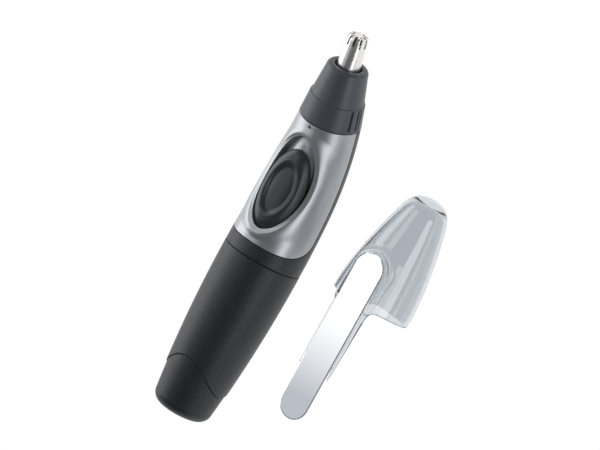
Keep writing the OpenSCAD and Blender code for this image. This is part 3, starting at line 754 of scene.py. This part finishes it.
def surface_net(field, low, high, step):
    """Quads over a field's zero surface, their corners drawn onto it."""
    axes = [np.arange(a, b + step, step) for a, b in zip(low, high)]
    corners = np.stack(np.meshgrid(*axes, indexing="ij"), -1)
    value = field(corners)
    inside = value < 0
    n = np.array(value.shape) - 1
    total, count = np.zeros((*n, 3)), np.zeros(tuple(n))
    crossings = []
    for axis in range(3):
        a = [slice(None)] * 3
        b = [slice(None)] * 3
        a[axis], b[axis] = slice(0, -1), slice(1, None)
        va, vb = value[tuple(a)], value[tuple(b)]
        crossing = inside[tuple(a)] != inside[tuple(b)]
        crossings.append(crossing)
        share = np.where(crossing, va / np.where(crossing, va - vb, 1), 0)
        at = corners[tuple(a)].copy()
        at[..., axis] += share * step
        others = [k for k in range(3) if k != axis]
        for du in (0, 1):
            for dv in (0, 1):
                pick = [slice(None)] * 3
                pick[others[0]] = slice(du, du + n[others[0]])
                pick[others[1]] = slice(dv, dv + n[others[1]])
                total += at[tuple(pick)] * crossing[tuple(pick)][..., None]
                count += crossing[tuple(pick)]
    cells = count > 0
    number = np.full(tuple(n), -1)
    number[cells] = np.arange(int(cells.sum()))
    points = total[cells] / count[cells][:, None]
    quads = []
    for axis in range(3):
        u, v = [k for k in range(3) if k != axis]
        crossing = crossings[axis]
        where = np.argwhere(crossing)
        where = where[(where[:, u] > 0) & (where[:, v] > 0) & (where[:, u] < n[u]) & (where[:, v] < n[v])]
        ring = []
        for du, dv in ((-1, -1), (0, -1), (0, 0), (-1, 0)):
            cell = where.copy()
            cell[:, u] += du
            cell[:, v] += dv
            ring.append(number[tuple(cell.T)])
        quads.append(np.stack(ring, -1))
    quads = np.concatenate(quads)
    for _ in range(6):
        f = field(points)
        slope = np.stack([(field(points + e) - field(points - e)) / 0.02 for e in 0.01 * np.eye(3)], -1)
        move = f[:, None] * slope / np.maximum((slope ** 2).sum(-1), 0.05)[:, None]
        length = np.linalg.norm(move, axis=1)[:, None]
        points = points - move * np.minimum(1, 0.4 * step / np.maximum(length, 1e-9))
    return points, quads.tolist()


def cap_hood():
    """Clear hood that runs up into its long mirror clip."""
    step = 0.3
    points, quads = surface_net(cap_field, (-16, -CLIP_DROP - 1, -21), (16, HOOD_L + 1, HOOD_R + 1), step)
    return piece("cap_hood_clear", cap_frame(points), quads, "clear_hood", "cap", ("cap_hood",), sharp=60,
                 merge=False)


def cap_mirror():
    """Polished plate let into the clip, with a fine bevelled border."""
    r, inset = CLIP_W / 2 - MIRROR_INSET - 0.02, MIRROR_INSET
    y_low, y_high = -CLIP_DROP + CLIP_W / 2, CLIP_RISE - CLIP_W / 2
    turns = np.radians(np.arange(0, 181, 4))

    def outline(back):
        upper = np.stack([(r - back) * np.cos(turns), y_high + (r - back) * np.sin(turns)], -1)
        lower = np.stack([-(r - back) * np.cos(turns), y_low - (r - back) * np.sin(turns)], -1)
        return np.concatenate([upper, lower])

    top = HOOD_R - 0.02
    layers = [(0.0, top - MIRROR_T + 0.04), (0.0, top - 0.16), (0.05, top - 0.05), (0.16, top), (0.6, top)]
    rings = [np.column_stack([outline(back), np.full(2 * len(turns), z)]) for back, z in layers]
    points = np.stack(rings)
    cols = points.shape[1]
    faces = grid_faces(len(layers), cols, False, True)
    faces.append(list(range(cols))[::-1])
    faces.append([(len(layers) - 1) * cols + j for j in range(cols)])
    return piece("cap_mirror_plate", cap_frame(points), faces, "mirror_plate", "cap", ("cap_mirror",),
                 sharp=25)


# ---------------------------------------------------------------- build

for build in (front_cover, rear_housing, battery_cover, tail_cap, switch_button, marks,
              blade_collar, outer_blade, cap_hood, cap_mirror):
    build()
for slot, nodes in SLOT_NODES.items():
    for node in nodes:
        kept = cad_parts[node]
        kept.data.materials.clear()
        kept.data.materials.append(MATERIALS[slot])


# ---------------------------------------------------------------- stage, lights and camera

def emitter(name, strength, colour=(1, 1, 1), ramp=None):
    """A glowing card material, even or graded along the card's own Y."""
    mat = bpy.data.materials.new(name)
    mat.use_nodes = True
    nodes, links = mat.node_tree.nodes, mat.node_tree.links
    nodes.remove(nodes["Principled BSDF"])
    glow = nodes.new("ShaderNodeEmission")
    glow.inputs["Color"].default_value = (*colour, 1)
    glow.inputs["Strength"].default_value = strength
    links.new(glow.outputs["Emission"], nodes["Material Output"].inputs["Surface"])
    if ramp:
        place = nodes.new("ShaderNodeTexCoord")
        split = nodes.new("ShaderNodeSeparateXYZ")
        grade = nodes.new("ShaderNodeValToRGB")
        for element, (position, value) in zip(grade.color_ramp.elements, ramp):
            element.position = position
            element.color = (*value, 1)
        links.new(place.outputs["Generated"], split.inputs["Vector"])
        links.new(split.outputs["Y"], grade.inputs["Fac"])
        links.new(grade.outputs["Color"], glow.inputs["Color"])
    return mat


def card(name, centre, facing, width, height, mat, up=(0, 1, 0), hidden=True):
    """A flat card that faces a direction; a hidden one is only seen in reflections and as light."""
    facing = Vector(facing).normalized()
    across = Vector(up).cross(facing).normalized()
    upward = facing.cross(across)
    mesh = bpy.data.meshes.new(name)
    corners = [(-width / 2, -height / 2, 0), (width / 2, -height / 2, 0), (width / 2, height / 2, 0),
               (-width / 2, height / 2, 0)]
    mesh.from_pydata(corners, [], [(0, 1, 2, 3)])
    obj = bpy.data.objects.new(name, mesh)
    bpy.context.scene.collection.objects.link(obj)
    obj.matrix_world = Matrix((across, upward, facing)).transposed().to_4x4()
    obj.location = Vector(centre)
    mesh.materials.append(mat)
    obj.visible_camera = not hidden
    obj.visible_shadow = not hidden
    return obj


def softbox(name, azimuth, rise, distance, width, height, power):
    """An area light at a turn from the vertical toward +X and a lean toward +Y, aimed at the pair."""
    level = math.cos(rise)
    direction = Vector((level * math.sin(azimuth), math.sin(rise), level * math.cos(azimuth)))
    data = bpy.data.lights.new(name, "AREA")
    data.shape = "RECTANGLE"
    data.size, data.size_y, data.energy = width, height, power
    obj = bpy.data.objects.new(name, data)
    bpy.context.scene.collection.objects.link(obj)
    across = Vector((0, 1, 0)).cross(direction).normalized()
    obj.matrix_world = Matrix((across, direction.cross(across), direction)).transposed().to_4x4()
    obj.location = direction * distance + Vector((0, 0, 15 * MM))
    return obj


floor_mat = emitter("floor_white", 1.02)
card("floor", (0, 0, -0.0002), (0, 0, 1), 6, 6, floor_mat, hidden=False)
softbox("left_softbox", math.radians(-72), math.radians(4), 0.55, 0.46, 0.8, 2.9)
softbox("top_softbox", math.radians(-20), math.radians(28), 0.8, 0.30, 0.30, 0.5)
card("mirror_card", (-0.15, -0.03, 0.30), (0.475, 0.139, -0.868), 0.16, 0.30,
     emitter("mirror_card", 1.2, ramp=((0.235, (0.44, 0.46, 0.50)), (0.37, (1, 1, 1)))))
softbox("right_softbox", math.radians(68), math.radians(4), 0.6, 0.26, 0.6, 1.5)

world = bpy.data.worlds.new("studio")
bpy.context.scene.world = world
world.use_nodes = True
world.node_tree.nodes["Background"].inputs["Color"].default_value = (0.93, 0.95, 1.0, 1)
world.node_tree.nodes["Background"].inputs["Strength"].default_value = 0.15

# Camera: a long lens turned from the vertical toward the cap, leaning toward the head, and rolled
CAMERA_TURN, CAMERA_LEAN, CAMERA_ROLL = math.radians(27.5), math.radians(10.0), math.radians(28.89)
CAMERA_D, CAMERA_LENS, SENSOR = 1.5, 253.611, 36.0
PAIR_MIDDLE = Vector((24.65, 76.96, 0)) * MM
BEYOND_CENTRE = (10.97 * MM, 12.85 * MM)
looked_at = Vector(HANDLE_AT) + PAIR_MIDDLE
back = Vector((math.cos(CAMERA_LEAN) * math.sin(CAMERA_TURN), math.sin(CAMERA_LEAN),
               math.cos(CAMERA_LEAN) * math.cos(CAMERA_TURN)))
up = (Vector((0, 1, 0)) - back * back.y).normalized()
up = Matrix.Rotation(CAMERA_ROLL, 3, back) @ up
right = up.cross(back)
camera = bpy.data.objects.new("camera", bpy.data.cameras.new("camera"))
bpy.context.scene.collection.objects.link(camera)
camera.matrix_world = Matrix((right, up, back)).transposed().to_4x4()
camera.location = looked_at - right * BEYOND_CENTRE[0] + up * BEYOND_CENTRE[1] + back * CAMERA_D
camera.data.sensor_width = SENSOR
camera.data.lens = CAMERA_LENS
camera.data.clip_start, camera.data.clip_end = 0.01, 20
bpy.context.scene.camera = camera
bpy.context.scene.view_settings.view_transform = "Standard"
